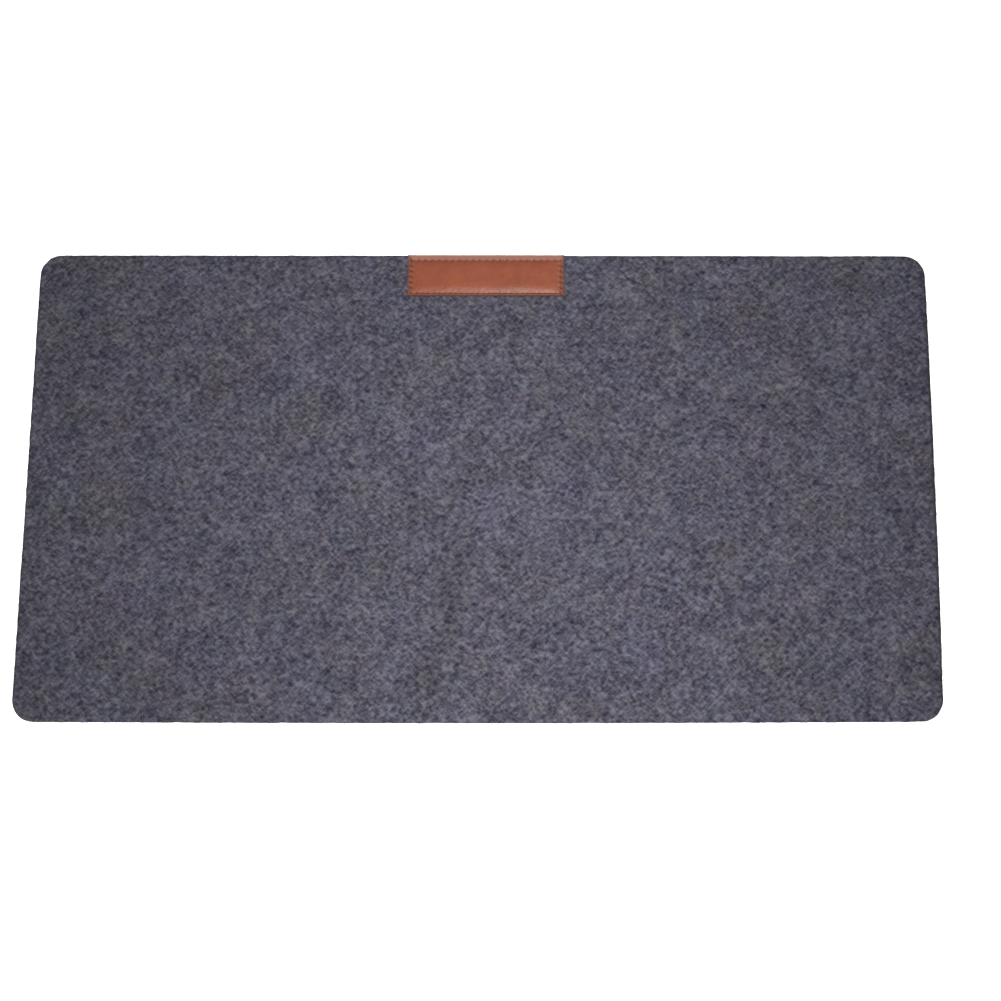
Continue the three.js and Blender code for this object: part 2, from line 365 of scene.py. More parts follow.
# ---------------------------------------------------------------------------------------------
# Loose fibres of the felt: thin closed strands that lie on its top and stand out of its edge.
# Lengths, heights and radii given as a pair are the least and the most, in mm. Lying angles are in
# degrees, standing turns in radians, and bends are 1 over a radius in metres. The shares say where
# along a fibre the points of its path are.
# ---------------------------------------------------------------------------------------------
STRAND_TAPER = (0.75, 1.0, 0.7)
STRAND_RADIUS = (0.035, 0.07)
LYING_ANGLE = 48
LYING_ANGLE_SPREAD = 20
LYING_LENGTH = (2.5, 7.5)
LYING_BEND = 110
LYING_ARCH = (0.02, 0.22)
LYING_SINK = 0.03 * MM
LYING_START = 2 * MM
LYING_MARGIN = 0.8 * MM
LYING_LABEL_GAP = 0.15 * MM
LYING_SHARES = (-0.5, -0.25, 0.0, 0.25, 0.5)
STANDING_TURN_SPREAD = 0.75
STANDING_LENGTH = (0.7, 2.0)
STANDING_BEND = 500
STANDING_HEIGHT = (0.5, 2.7)
STANDING_CLIMB = 0.25
STANDING_LOWEST = 0.2 * MM
STANDING_HIGHEST = 3.1 * MM
STANDING_LABEL_GAP = 6.2 * MM
STANDING_SHARES = (-0.35, 0.0, 0.25, 0.45, 0.65)


def strands(name, paths, radii):
    """One mesh of thin tapered strands. A path is five points: two tips, and three rings of three
    between them. Points 0 to 8 of a strand are its rings, and 9 and 10 its tips."""
    count = len(paths)
    tangent = paths[:, 2:] - paths[:, :-2]
    tangent /= np.linalg.norm(tangent, axis=2)[:, :, None]
    side = np.cross(tangent, np.array([0.0, 0.0, 1.0]))
    side /= np.maximum(np.linalg.norm(side, axis=2), TINY)[:, :, None]
    up = np.cross(side, tangent)
    thick = radii[:, None] * np.array(STRAND_TAPER)
    rings = []
    for k in range(3):
        turn = math.tau * k / 3 + math.pi / 2
        offset = math.cos(turn) * side + math.sin(turn) * up
        rings.append(paths[:, 1:4] + offset * thick[:, :, None])
    rings = np.stack(rings, 2).reshape(count, 9, 3)
    vertices = np.concatenate([rings, paths[:, :1], paths[:, 4:]], 1)
    template = []
    for k in range(3):
        n = (k + 1) % 3
        template.append((9, n, k))
        template.append((10, 6 + k, 6 + n))
        for row in (0, 3):
            template.append((row + k, row + n, row + 3 + n))
            template.append((row + k, row + 3 + n, row + 3 + k))
    faces = np.array(template)[None] + (np.arange(count) * 11)[:, None, None]
    return object_of(name, vertices.reshape(-1, 3), faces.reshape(-1, 3).tolist())


def bent_line(x, y, heading, bend, along):
    """Where a bent line that starts at a point has got to in plan, some way along it."""
    off = bend * along**2 / 2
    line_x = x + along * np.cos(heading) - off * np.sin(heading)
    return line_x, y + along * np.sin(heading) + off * np.cos(heading)


def lying_paths(rng, count):
    """Fibres on the felt's top, most of them along one of two diagonals."""
    x = rng.uniform(FELT_LO.x + LYING_START, FELT_HI.x - LYING_START, count)
    y = rng.uniform(FELT_LO.y + LYING_START, FELT_HI.y - LYING_START, count)
    diagonal = np.where(rng.random(count) < 0.5, LYING_ANGLE, -LYING_ANGLE)
    heading = np.radians(diagonal + rng.normal(0, LYING_ANGLE_SPREAD, count))
    length = rng.uniform(*LYING_LENGTH, count) * MM
    bend = rng.normal(0, LYING_BEND, count)
    arch = rng.uniform(*LYING_ARCH, count) * MM
    paths = np.zeros((count, 5, 3))
    for k, share in enumerate(LYING_SHARES):
        line_x, line_y = bent_line(x, y, heading, bend, share * length)
        plan_x, plan_y, depth, _, _ = felt_plan(line_x, line_y)
        top, _ = felt_heights(plan_x, plan_y, np.maximum(depth, RIM_RADIUS))
        lift = arch * (1 - 4 * share * share) - LYING_SINK
        paths[:, k] = np.stack([plan_x, plan_y, top + lift], -1)
    inside = np.minimum(*felt_insets(paths[:, :, 0], paths[:, :, 1])).min(1)
    clear = label_distance(paths[:, :, 0], paths[:, :, 1]).min(1)
    return paths[(inside > LYING_MARGIN) & (clear > LYING_LABEL_GAP)]


def standing_paths(rng, count):
    """Fibres that stand out of the felt's cut edge, away from its pressed part."""
    around = rng.uniform(0, 2, count)
    on_long = rng.random(count) < HALF_X / (HALF_X + HALF_Y)
    sign = np.where(around < 1, -1.0, 1.0)
    place = 2 * (around % 1) - 1
    x = MID_X + np.where(on_long, place * HALF_X, sign * HALF_X)
    y = MID_Y + np.where(on_long, sign * HALF_Y, place * HALF_Y)
    plan_x, plan_y, _, out_x, out_y = felt_plan(x, y)
    heading = np.arctan2(out_y, out_x) + rng.normal(0, STANDING_TURN_SPREAD, count)
    length = rng.uniform(*STANDING_LENGTH, count) * MM
    bend = rng.normal(0, STANDING_BEND, count)
    base = rng.uniform(*STANDING_HEIGHT, count) * MM
    climb = rng.normal(0.0, STANDING_CLIMB, count)
    paths = np.zeros((count, 5, 3))
    for k, share in enumerate(STANDING_SHARES):
        line_x, line_y = bent_line(plan_x, plan_y, heading, bend, share * length)
        line_z = np.clip(base + climb * (share * length), STANDING_LOWEST, STANDING_HIGHEST)
        paths[:, k] = np.stack([line_x, line_y, line_z], -1)
    clear = label_distance(paths[:, :, 0], paths[:, :, 1]).min(1)
    return paths[clear > STANDING_LABEL_GAP]


def fibres(name, seed, lying, standing):
    """Both kinds of fibre in one mesh, made from a fixed seed."""
    rng = np.random.default_rng(seed)
    paths = np.concatenate([lying_paths(rng, lying), standing_paths(rng, standing)])
    radii = rng.uniform(*STRAND_RADIUS, len(paths)) * MM
    return strands(name, paths, radii)


# ---------------------------------------------------------------------------------------------
# The leather label: a flat strip whose grid is wrapped round the rear edge of the felt.
# FLAP is the length of a flat flap and ARC that of a quarter of the fold. MID_RADIUS is the fold's
# radius at the middle of the leather.
# ---------------------------------------------------------------------------------------------
FLAP = LABEL_HI.y - FOLD_INNER - LEATHER - LABEL_LO.y
FOLD_START = LABEL_LO.y + FLAP
MID_RADIUS = FOLD_INNER + LEATHER / 2
UPPER_CENTRE = LABEL_HI.z - LEATHER - FOLD_INNER
LOWER_CENTRE = LABEL_LO.z + LEATHER + FOLD_INNER
ARC = MID_RADIUS * math.pi / 2
STRIP_LENGTH = 2 * FLAP + 2 * ARC + UPPER_CENTRE - LOWER_CENTRE
LABEL_EDGE_ROWS = [d * MM for d in (0, 0.05, 0.13, 0.24, 0.4)]
LABEL_EDGE_RADIUS = 0.24 * MM
LABEL_EDGE_BAND = 0.5 * MM
LABEL_EDGE_FADE = 0.8 * MM
INNER_ROUNDING = 0.4
LABEL_STEP_X = 0.5 * MM
LABEL_STEP_S = 0.75 * MM
LABEL_WALL_ROWS = 3
FOLD_ROWS = 17
SEAM_ROWS = [d * MM for d in (-2, -1.55, -1.2, -0.9, -0.65, -0.42, -0.2, 0)]
SEAM_ROWS += [-d for d in SEAM_ROWS[:-1]]
GROOVE_DEPTH = 0.32 * MM
LOWER_GROOVE_DEPTH = 0.40 * MM
GROOVE_WIDTH = 0.36 * MM
PIT_DEPTH = 0.18 * MM
PIT_LENGTH = 2.1 * MM
PIT_WIDTH = 0.75 * MM
PIT_TURN = math.radians(68)
PUFF = 0.45 * MM
PUFF_RISE_FRONT = 3.0 * MM
PUFF_RISE_SIDE = 2.6 * MM
PUFF_RISE_REAR = 3.0 * MM
CROWN = 0.07 * MM
CROWN_RISE = 12 * MM
BORDER_FALL = 0.30 * MM
BORDER_FALL_WIDTH = 2.0 * MM
REAR_FALL = 0.34 * MM
REAR_FALL_WIDTH = 3.6 * MM
LEATHER_WAVES = ((0.024, 11, 31), (0.014, 4.5, 32))
WAVES_RISE = 2 * MM
LOWER_SHARE = 0.4
LOWER_DIP = 0.2 * MM
LOWER_RISE = 0.14 * MM


def folded(x, s, n):
    """Where a point of the flat strip lies. s runs from the upper flap's front edge over the fold
    to the lower flap's, and n is the height over the middle of the leather."""
    ends = np.cumsum([FLAP, ARC, UPPER_CENTRE - LOWER_CENTRE, ARC])
    turn_up = (s - ends[0]) / MID_RADIUS
    turn_down = (s - ends[2]) / MID_RADIUS
    radius = MID_RADIUS + n
    places = [
        (LABEL_LO.y + s, UPPER_CENTRE + radius + 0 * s),
        (FOLD_START + radius * np.sin(turn_up), UPPER_CENTRE + radius * np.cos(turn_up)),
        (FOLD_START + radius + 0 * s, UPPER_CENTRE - (s - ends[1])),
        (FOLD_START + radius * np.cos(turn_down), LOWER_CENTRE - radius * np.sin(turn_down)),
        (FOLD_START - (s - ends[3]), LOWER_CENTRE - radius + 0 * s),
    ]
    which = np.searchsorted(ends, s)
    y = np.choose(which, [p[0] for p in places])
    z = np.choose(which, [p[1] for p in places])
    return np.stack([x + 0 * y, y, z], -1)


def hole_closeness(x, y):
    """A hole's stitch pull at the hole, falling to 0 a millimetre or two away. What a hole pulls in
    is longer across the seam than along it."""
    closeness = np.zeros(np.shape(x))
    pulls = np.repeat(STITCH_PULL, STITCHES)
    for (hole_x, hole_y), angle, pull in zip(HOLES, HOLE_ANGLES - SLIT_TURN + PIT_TURN, pulls):
        along = (x - hole_x) * math.cos(angle) + (y - hole_y) * math.sin(angle)
        across = (y - hole_y) * math.cos(angle) - (x - hole_x) * math.sin(angle)
        here = pull * np.exp(-((along / PIT_LENGTH) ** 2) - (across / PIT_WIDTH) ** 2)
        closeness = np.maximum(closeness, here)
    return closeness


def label_relief(x, s):
    """How far the leather's outer face stands over a flat one: pressed in along the seam and at its
    holes, puffed between the rows, and falling away outside them. The desk keeps the lower flap
    flatter than the upper one."""
    lower = s > STRIP_LENGTH / 2
    along = np.where(lower, STRIP_LENGTH - s, s)
    y = LABEL_LO.y + along
    inside = -seam_distance(x, y)
    in_side = np.maximum(np.minimum(x - SEAM_LEFT, SEAM_RIGHT - x), 0)
    groove = np.exp(-((inside / GROOVE_WIDTH) ** 2))
    puff = 1 - np.exp(-in_side / PUFF_RISE_SIDE)
    puff = puff * (1 - np.exp(-((np.maximum(y - SEAM_FRONT, 0) / PUFF_RISE_FRONT) ** 1.5)))
    puff = puff * (1 - np.exp(-np.maximum(SEAM_REAR - y, 0) / PUFF_RISE_REAR))
    crown = CROWN * np.sin(math.pi * smooth(inside / CROWN_RISE))
    fall = BORDER_FALL * smooth(-inside / BORDER_FALL_WIDTH)
    rear_fall = REAR_FALL * smooth((y - SEAM_REAR) / REAR_FALL_WIDTH)
    fall = np.where(y > SEAM_REAR, np.maximum(rear_fall, fall * (x < SEAM_LEFT)), fall)
    uneven = waves_together(x, s, LEATHER_WAVES)
    relief = PUFF * puff + crown - fall - PIT_DEPTH * hole_closeness(x, y)
    relief = relief + uneven * MM * smooth(np.abs(inside) / WAVES_RISE)
    pressed = np.clip(LOWER_SHARE * relief, -LOWER_DIP, LOWER_RISE) - LOWER_GROOVE_DEPTH * groove
    return np.where(lower, pressed, relief - GROOVE_DEPTH * groove)


def label_sheet():
    left, right = LABEL_LO.x + LABEL_EDGE_BAND, LABEL_HI.x - LABEL_EDGE_BAND
    marks_x = [LABEL_LO.x + d for d in LABEL_EDGE_ROWS] + [LABEL_HI.x - d for d in LABEL_EDGE_ROWS]
    marks_x += [SEAM_LEFT + d for d in SEAM_ROWS if SEAM_LEFT + d > left]
    marks_x += [SEAM_RIGHT + d for d in SEAM_ROWS if SEAM_RIGHT + d < right]
    flap_marks = list(LABEL_EDGE_ROWS)
    for seam in (SEAM_FRONT, SEAM_REAR):
        flap_marks += [seam - LABEL_LO.y + d for d in SEAM_ROWS]
    flap_marks = [m for m in flap_marks if m in LABEL_EDGE_ROWS or m > LABEL_EDGE_BAND]
    marks_s = flap_marks + [STRIP_LENGTH - m for m in flap_marks]
    marks_s += list(np.linspace(FLAP, STRIP_LENGTH - FLAP, FOLD_ROWS))
    x, s = np.meshgrid(lines(marks_x, LABEL_STEP_X), lines(marks_s, LABEL_STEP_S), indexing="ij")
    in_x = np.minimum(x - LABEL_LO.x, LABEL_HI.x - x)
    in_s = np.minimum(s, STRIP_LENGTH - s)
    inward = np.clip(LABEL_EDGE_RADIUS - np.minimum(in_x, in_s), 0, LABEL_EDGE_RADIUS)
    drop = LABEL_EDGE_RADIUS - np.sqrt(LABEL_EDGE_RADIUS**2 - inward**2)
    fade = smooth(np.minimum(in_x, in_s) / LABEL_EDGE_FADE)
    outer = folded(x, s, LEATHER / 2 + label_relief(x, s) * fade - drop)
    inner = folded(x, s, -LEATHER / 2 + INNER_ROUNDING * drop)
    return with_slits(slab("label_sheet", outer, inner, LABEL_WALL_ROWS))


# ---------------------------------------------------------------------------------------------
# The seam's two threads: three plies twisted together, along the CAD's path with its bends eased.
# ---------------------------------------------------------------------------------------------
PLIES = 3
PLY_RADIUS = 0.155 * MM
PLY_OFFSET = 0.175 * MM
PLY_SIDES = 5
TWIST_PITCH = 1.5 * MM
THREAD_STEP = 0.17 * MM
FINE_STEP = 0.04 * MM
BEND_EASE = 0.16 * MM
FIRST_SIDE = (0.3, 0.5, 0.81)
NEEDLE_RISE = 0.30 * MM
BOBBIN_RISE = -0.12 * MM


def even_path(points, step):
    """Points a step apart along a line through the given ones."""
    run = np.concatenate([[0], np.cumsum(np.linalg.norm(np.diff(points, axis=0), axis=1))])
    count = max(2, int(round(run[-1] / step)))
    wanted = np.linspace(0, run[-1], count + 1)
    return np.stack([np.interp(wanted, run, points[:, k]) for k in range(3)], -1)


def eased_path(points):
    """The path with its sharp bends rounded, and its ends kept."""
    path = even_path(points, FINE_STEP)
    spread = int(3 * BEND_EASE / FINE_STEP)
    weights = np.exp(-0.5 * (np.arange(-spread, spread + 1) * FINE_STEP / BEND_EASE) ** 2)
    weights /= weights.sum()
    padded = np.concatenate([path[:1].repeat(spread, 0), path, path[-1:].repeat(spread, 0)])
    path = np.stack([np.convolve(padded[:, k], weights, "valid") for k in range(3)], -1)
    return even_path(path, THREAD_STEP)


def path_frames(path):
    """Two directions across the path at each point that turn with it as little as they can."""
    tangent = np.gradient(path, axis=0)
    tangent /= np.linalg.norm(tangent, axis=1)[:, None]
    side = np.cross(tangent[0], FIRST_SIDE)
    sides = []
    for t in tangent:
        side = side - t * side.dot(t)
        side = side / np.linalg.norm(side)
        sides.append(side)
    sides = np.array(sides)
    return sides, np.cross(tangent, sides)


def twisted_thread(name, run_z, lock_z, rise):
    """run_z is the height of the middle of a stitch, lock_z that of its ends inside the holes, and
    rise how much the middle stands over the two bends where the thread enters the holes."""
    leg = LEG_REACH * np.stack([np.cos(HOLE_ANGLES), np.sin(HOLE_ANGLES)], -1)
    points = []
    for i in range(len(HOLES)):
        j = (i + 1) % len(HOLES)
        start, end = HOLES[i] + leg[i], HOLES[j] - leg[j]
        points.append((*start, lock_z))
        points.append((*start, run_z - rise))
        for share in (0.25, 0.5, 0.75):
            height = run_z - rise * (1 - math.sin(math.pi * share))
            points.append((*(start + (end - start) * share), height))
        points.append((*end, run_z - rise))
        points.append((*end, lock_z))
    path = eased_path(np.array(points))
    first, second = path_frames(path)
    run = np.arange(len(path)) * THREAD_STEP
    vertices, faces = [], []
    for ply in range(PLIES):
        turn = (math.tau * (ply / PLIES + run / TWIST_PITCH))[:, None]
        centre = path + PLY_OFFSET * (np.cos(turn) * first + np.sin(turn) * second)
        around = math.tau * np.arange(PLY_SIDES) / PLY_SIDES
        ring = np.cos(around)[None, :, None] * first[:, None] + (
            np.sin(around)[None, :, None] * second[:, None]
        )
        base = sum(len(v) for v in vertices)
        vertices.append((centre[:, None] + PLY_RADIUS * ring).reshape(-1, 3))
        rows = base + np.arange(len(path))[:, None] * PLY_SIDES
        here = rows + np.arange(PLY_SIDES)
        there = rows + (np.arange(PLY_SIDES) + 1) % PLY_SIDES
        quads = np.stack([here[:-1], there[:-1], there[1:], here[1:]], -1)
        faces.extend(quads.reshape(-1, 4).tolist())
        faces.append(here[0][::-1].tolist())
        faces.append(here[-1].tolist())
    return object_of(name, np.concatenate(vertices), faces)


# ---------------------------------------------------------------------------------------------
# Materials. A noise's scale is about how many lumps it has to the metre, and a weight or share is
# how much it counts. Bump heights are in metres.
# ---------------------------------------------------------------------------------------------
class Finish:
    """A material with a Principled shader, and short ways to add the nodes that feed it."""

    def __init__(self, name, **settings):
        self.material = bpy.data.materials.new(name)
        self.material.use_nodes = True
        self.tree = self.material.node_tree
        self.tree.nodes.clear()
        self.shader = self.node("ShaderNodeBsdfPrincipled", {}, **settings)
        output = self.tree.nodes.new("ShaderNodeOutputMaterial")
        self.tree.links.new(self.shader.outputs[0], output.inputs["Surface"])
        place = self.tree.nodes.new("ShaderNodeTexCoord")
        self.place = place.outputs["Object"]

    def node(self, kind, settings, **inputs):
        """A node. An input is named as on the node, with _ for a space, or by its place: at0."""
        made = self.tree.nodes.new(kind)
        for key, value in settings.items():
            setattr(made, key, value)
        for key, value in inputs.items():
            if key.startswith("at"):
                socket = made.inputs[int(key[2:])]
            else:
                socket = made.inputs[key.replace("_", " ")]
            if isinstance(value, bpy.types.NodeSocket):
                self.tree.links.new(value, socket)
            else:
                socket.default_value = value
        return made

    def math(self, operation, a, b, clamp=False):
        """A sum on two values, kept from 0 to 1 if it is clamped."""
        settings = {"operation": operation, "use_clamp": clamp}
        return self.node("ShaderNodeMath", settings, at0=a, at1=b).outputs[0]

    def stretched(self, angle, longer):
        """The place, turned by an angle in plan, with what is drawn there longer that way."""
        return self.node(
            "ShaderNodeMapping",
            {"vector_type": "TEXTURE"},
            Vector=self.place,
            Rotation=(0, 0, math.radians(angle)),
            Scale=(longer, 1, 1),
        ).outputs[0]

    def noise(self, scale, place=None, detail=0.0):
        """Smooth lumps from 0 to 1, with smaller ones over them if there is detail."""
        return self.node(
            "ShaderNodeTexNoise",
            {"noise_dimensions": "3D"},
            Vector=place or self.place,
            Scale=scale,
            Detail=detail,
            Roughness=0.5,
        ).outputs[0]

    def weighted(self, parts):
        """The sum of weight times (value - 0.5)."""
        total = None
        for weight, value in parts:
            centred = self.math("SUBTRACT", value, 0.5)
            if total is None:
                total = self.math("MULTIPLY", centred, weight)
            else:
                settings = {"operation": "MULTIPLY_ADD"}
                total = self.node(
                    "ShaderNodeMath", settings, at0=centred, at1=weight, at2=total
                ).outputs[0]
        return total

    def mix(self, share, a, b):
        """Colour a where the share is 0, and b where it is 1."""
        settings = {"data_type": "RGBA", "clamp_factor": True}
        return self.node("ShaderNodeMix", settings, at0=share, at6=a, at7=b).outputs[2]

    def tinted(self, tone, tint):
        """A tone times a tint."""
        settings = {"data_type": "RGBA", "blend_type": "MULTIPLY"}
        return self.node("ShaderNodeMix", settings, at0=1.0, at6=tone, at7=tint).outputs[2]

    def attribute(self, name):
        """A value that the mesh carries at its points."""
        made = self.tree.nodes.new("ShaderNodeAttribute")
        made.attribute_name = name
        return made.outputs["Fac"]

    def feed(self, name, value):
        """Gives a value to the shader's input of that name."""
        self.tree.links.new(value, self.shader.inputs[name])

    def bump(self, parts):
        """Height maps over one another: each part is (height, distance)."""
        normal = None
        for height, distance in parts:
            inputs = {"Height": height, "Distance": distance, "Strength": 1.0}
            if normal is not None:
                inputs["Normal"] = normal
            normal = self.node("ShaderNodeBump", {}, **inputs).outputs[0]
        self.feed("Normal", normal)


def colour(r, g, b):
    return (r, g, b, 1.0)


FELT_DARK = colour(0.0025, 0.0014, 0.0115)
FELT_PALE = colour(0.1207, 0.1165, 0.1440)
# Painted shade colour for the felt's cut edge, and how much of it is laid on.
FELT_RIM_SHADE = colour(0.019, 0.0188, 0.0205)
RIM_SHADE_SHARE = 0.8
LUMP_ANGLES = (42, -42, 0)
LUMP_LENGTH = 2.1
FUZZ_PARTS = ((1.0, 34), (1.0, -50), (0.9, 84), (0.9, -8))
FUZZ_SCALE = 2100
FUZZ_LENGTH = 3.2
FUZZ_SHARE = 1.6
MELANGE_CONTRAST = 0.182
MELANGE_LEVEL = 0.72
MELANGE_POWER = 2.2
MELANGE_HEIGHT = 0.00025
FUZZ_HEIGHT = 0.0003
WARM_COLD_SCALES = ((0.8, 200), (0.9, 62), (1.3, 21))
WARM = colour(1.03, 1.0, 0.92)
COLD = colour(0.97, 1.0, 1.08)
GREEN_PURPLE_SCALES = ((1.0, 180), (0.8, 54), (0.8, 19))
GREEN = colour(0.953, 1.013, 0.98)
PURPLE = colour(1.047, 0.987, 1.02)


def felt_finish():
    """Charcoal melange: pale and dark fibres carded together, lumpy along two diagonals, with a
    fine fuzz of fibres in all directions, faint colour casts and painted shade along the cut edge."""
    made = Finish("felt_melange", Roughness=0.95, Sheen_Weight=0.05, Sheen_Roughness=0.6)
    made.shader.inputs["Specular IOR Level"].default_value = 0.10
    rising, falling, level = (made.stretched(angle, LUMP_LENGTH) for angle in LUMP_ANGLES)
    melange = made.weighted(
        [
            (2.5, made.noise(550, rising)),
            (2.5, made.noise(550, falling)),
            (1.6, made.noise(540, level)),
            (0.7, made.noise(330, rising)),
            (0.7, made.noise(330, falling)),
            (0.85, made.noise(150)),
            (0.72, made.noise(70)),
            (0.58, made.noise(33)),
            (0.28, made.noise(14)),
        ]
    )
    fuzz = made.weighted(
        [
            (weight, made.noise(FUZZ_SCALE, made.stretched(angle, FUZZ_LENGTH), detail=1))
            for weight, angle in FUZZ_PARTS
        ]
    )
    carded = made.math("ADD", melange, made.math("MULTIPLY", fuzz, FUZZ_SHARE))
    shade = made.math("MULTIPLY", carded, MELANGE_CONTRAST)
    shade = made.math("ADD", shade, MELANGE_LEVEL, clamp=True)
    tone = made.mix(made.math("POWER", shade, MELANGE_POWER), FELT_DARK, FELT_PALE)
    for parts, one, other in (
        (WARM_COLD_SCALES, WARM, COLD),
        (GREEN_PURPLE_SCALES, GREEN, PURPLE),
    ):
        cast = made.weighted([(weight, made.noise(scale)) for weight, scale in parts])
        cast = made.math("ADD", cast, 0.5, clamp=True)
        tone = made.tinted(tone, made.mix(cast, one, other))
    # Painted shade along the felt's cut edge.
    painted_rim_shade = made.math("MULTIPLY", made.attribute("painted_rim_shade"), RIM_SHADE_SHARE)
    made.feed("Base Color", made.mix(painted_rim_shade, tone, FELT_RIM_SHADE))
    made.bump([(melange, MELANGE_HEIGHT), (fuzz, FUZZ_HEIGHT)])
    return made.material


LIGHT_FIBRE = (colour(0.10, 0.096, 0.125), colour(0.26, 0.25, 0.31))
DARK_FIBRE = (colour(0.008, 0.008, 0.010), colour(0.035, 0.034, 0.042))


def fibre_finish(name, tones):
    made = Finish(name, Roughness=0.85, Sheen_Weight=0.15, Sheen_Roughness=0.5)
    made.feed("Base Color", made.mix(made.noise(160), *tones))
    made.bump([(made.noise(5000), 0.00003)])
    return made.material


LEATHER_DARK = colour(0.186, 0.0490, 0.0242)
LEATHER_PALE = colour(0.256, 0.0712, 0.0368)
CREASE = colour(0.110, 0.030, 0.016)
CREASE_SHARE = 0.30
# Painted highlight colour: the pale sheen of the lights mirrored in the leather.
PAINTED_HIGHLIGHT_TONE = colour(0.272, 0.138, 0.106)
# Painted shade colour for the seam and its pits, and how much of it is laid on.
SEAM_SHADE_TONE = colour(0.085, 0.022, 0.008)
SEAM_SHADE_SHARE = 0.9
# The cut edge's darker colour, also laid as painted shade over the border that falls away to it.
CUT_EDGE_AND_SHADE = colour(0.058, 0.0165, 0.0085)
CUT_EDGE_AND_SHADE_SHARE = 0.85
SATIN = 0.21
SATIN_SPREAD = 0.14
CELL_HEIGHT = 0.00004
GRAIN_HEIGHT = 0.00006


def leather_finish():
    """Tan-brown leather: pebbled grain and a satin surface. Painted highlights where the lights are
    mirrored (behind the front seam, on the fold, beside the side holes), painted shade in the seam
    and its pits, a darker cut edge with painted shade on the border falling to it; rougher in the
    seam and at its cut edges."""
    made = Finish("label_leather")
    made.shader.inputs["Specular IOR Level"].default_value = 0.27
    cells = made.node(
        "ShaderNodeTexVoronoi",
        {"feature": "SMOOTH_F1"},
        Vector=made.place,
        Scale=1250.0,
        Smoothness=0.6,
        Randomness=1.0,
    ).outputs[0]
    clouds = made.weighted(
        [(1.0, made.noise(70)), (0.8, made.noise(190, detail=1)), (0.5, made.noise(900))]
    )
    share = made.math("ADD", made.math("MULTIPLY", clouds, 0.9), 0.5, clamp=True)
    tone = made.mix(share, LEATHER_DARK, LEATHER_PALE)
    tone = made.mix(made.math("MULTIPLY", cells, CREASE_SHARE), tone, CREASE)
    # Painted highlights over the leather's tone.
    tone = made.mix(made.attribute("painted_highlight"), tone, PAINTED_HIGHLIGHT_TONE)
    # Painted shade in the seam and its pits.
    painted_seam_shade = made.math("MULTIPLY", made.attribute("painted_seam_shade"), SEAM_SHADE_SHARE)
    tone = made.mix(painted_seam_shade, tone, SEAM_SHADE_TONE)
    # Darker cut edge with painted shade on the border by it.
    edge_and_painted_shade = made.math("MULTIPLY", made.attribute("edge_and_painted_shade"), CUT_EDGE_AND_SHADE_SHARE)
    made.feed("Base Color", made.mix(edge_and_painted_shade, tone, CUT_EDGE_AND_SHADE))
    rough = made.math("MULTIPLY", made.noise(260, detail=2), SATIN_SPREAD)
    rough = made.math("ADD", rough, SATIN)
    for name, rougher in (("painted_seam_shade", 0.4), ("edge_and_painted_shade", 0.3)):
        rough = made.math("ADD", made.math("MULTIPLY", made.attribute(name), rougher), rough)
    made.feed("Roughness", rough)
    grain = made.weighted([(1.0, made.noise(1700, detail=2)), (0.6, made.noise(520))])
    made.bump([(cells, CELL_HEIGHT), (grain, GRAIN_HEIGHT)])
    return made.material


THREAD_DARK = colour(0.165, 0.054, 0.033)
THREAD_PALE = colour(0.265, 0.100, 0.068)
# Painted shade colour where the thread goes into the leather, and how much of it is laid on.
THREAD_SHADE_TONE = colour(0.105, 0.029, 0.012)
THREAD_SHADE_SHARE = 0.8


def thread_finish():
    """Brown sewing thread, with painted shade where it goes down into the leather."""
    made = Finish("seam_thread", Roughness=0.5, Sheen_Weight=0.06, Sheen_Roughness=0.35)
    made.shader.inputs["Specular IOR Level"].default_value = 0.22
    tone = made.mix(made.noise(420), THREAD_DARK, THREAD_PALE)
    # Painted shade where the thread goes into the leather.
    painted_thread_shade = made.math("MULTIPLY", made.attribute("painted_thread_shade"), THREAD_SHADE_SHARE)
    made.feed("Base Color", made.mix(painted_thread_shade, tone, THREAD_SHADE_TONE))
    made.bump([(made.noise(6500, made.stretched(20, 2), detail=1), 0.00004)])
    return made.material


# ---------------------------------------------------------------------------------------------
# Painted shade and highlights on the leather and thread, and the leather's darker cut edge.
# Each value goes from 0 to about 1.
# ---------------------------------------------------------------------------------------------
# Painted shade in front of the rear row, on the slope turned away from the light, and in the pits
# round the holes, as strong as each hole's pull.
FLAP_END = 1.2 * MM
FLAP_END_FADE = 0.6 * MM
REAR_SHADE = 0.24
REAR_SHADE_PLACE = 1.1 * MM
REAR_SHADE_WIDTH = 2.4 * MM
REAR_SHADE_SIDES = 2 * MM
PIT_SHADE = 0.95
# The cut edge's darkening reaches about 3 mm in: the edge's own colour and painted shade on the
# falling border.
SIDE_EDGE = 0.64
SIDE_EDGE_WIDTH = 3.2 * MM
FRONT_EDGE = 0.97
FRONT_EDGE_WIDTH = 2.8 * MM
# Painted highlights: behind the front seam, high on the fold, and on the lit ridges beside the side
# rows' holes.
RIDGE_HIGHLIGHT = 0.08
RIDGE_PLACE = 2.2 * MM
RIDGE_WIDTH = 1.6 * MM
RIDGE_SIDES = 3 * MM
FOLD_HIGHLIGHT = 0.72
FOLD_PLACE = 0.2 * MM
FOLD_WIDTH = 1.4 * MM
FOLD_LOW_SHARE = 0.15
FOLD_LOW = 1.5 * MM
FOLD_RISE = 1.8 * MM
SIDE_HIGHLIGHT = 0.34
SIDE_HIGHLIGHT_WIDTH = 1.7 * MM
# Where painted shade lies on the threads, and how strong it is along the front row, which lies in
# shade.
NEEDLE_SUNK_DEPTH = 0.2 * MM
BOBBIN_SUNK_HEIGHT = 0.35 * MM
SUNK_REACH = 0.5 * MM
FRONT_ROW_SHADE = 0.6
FRONT_ROW_REACH = 1.0 * MM


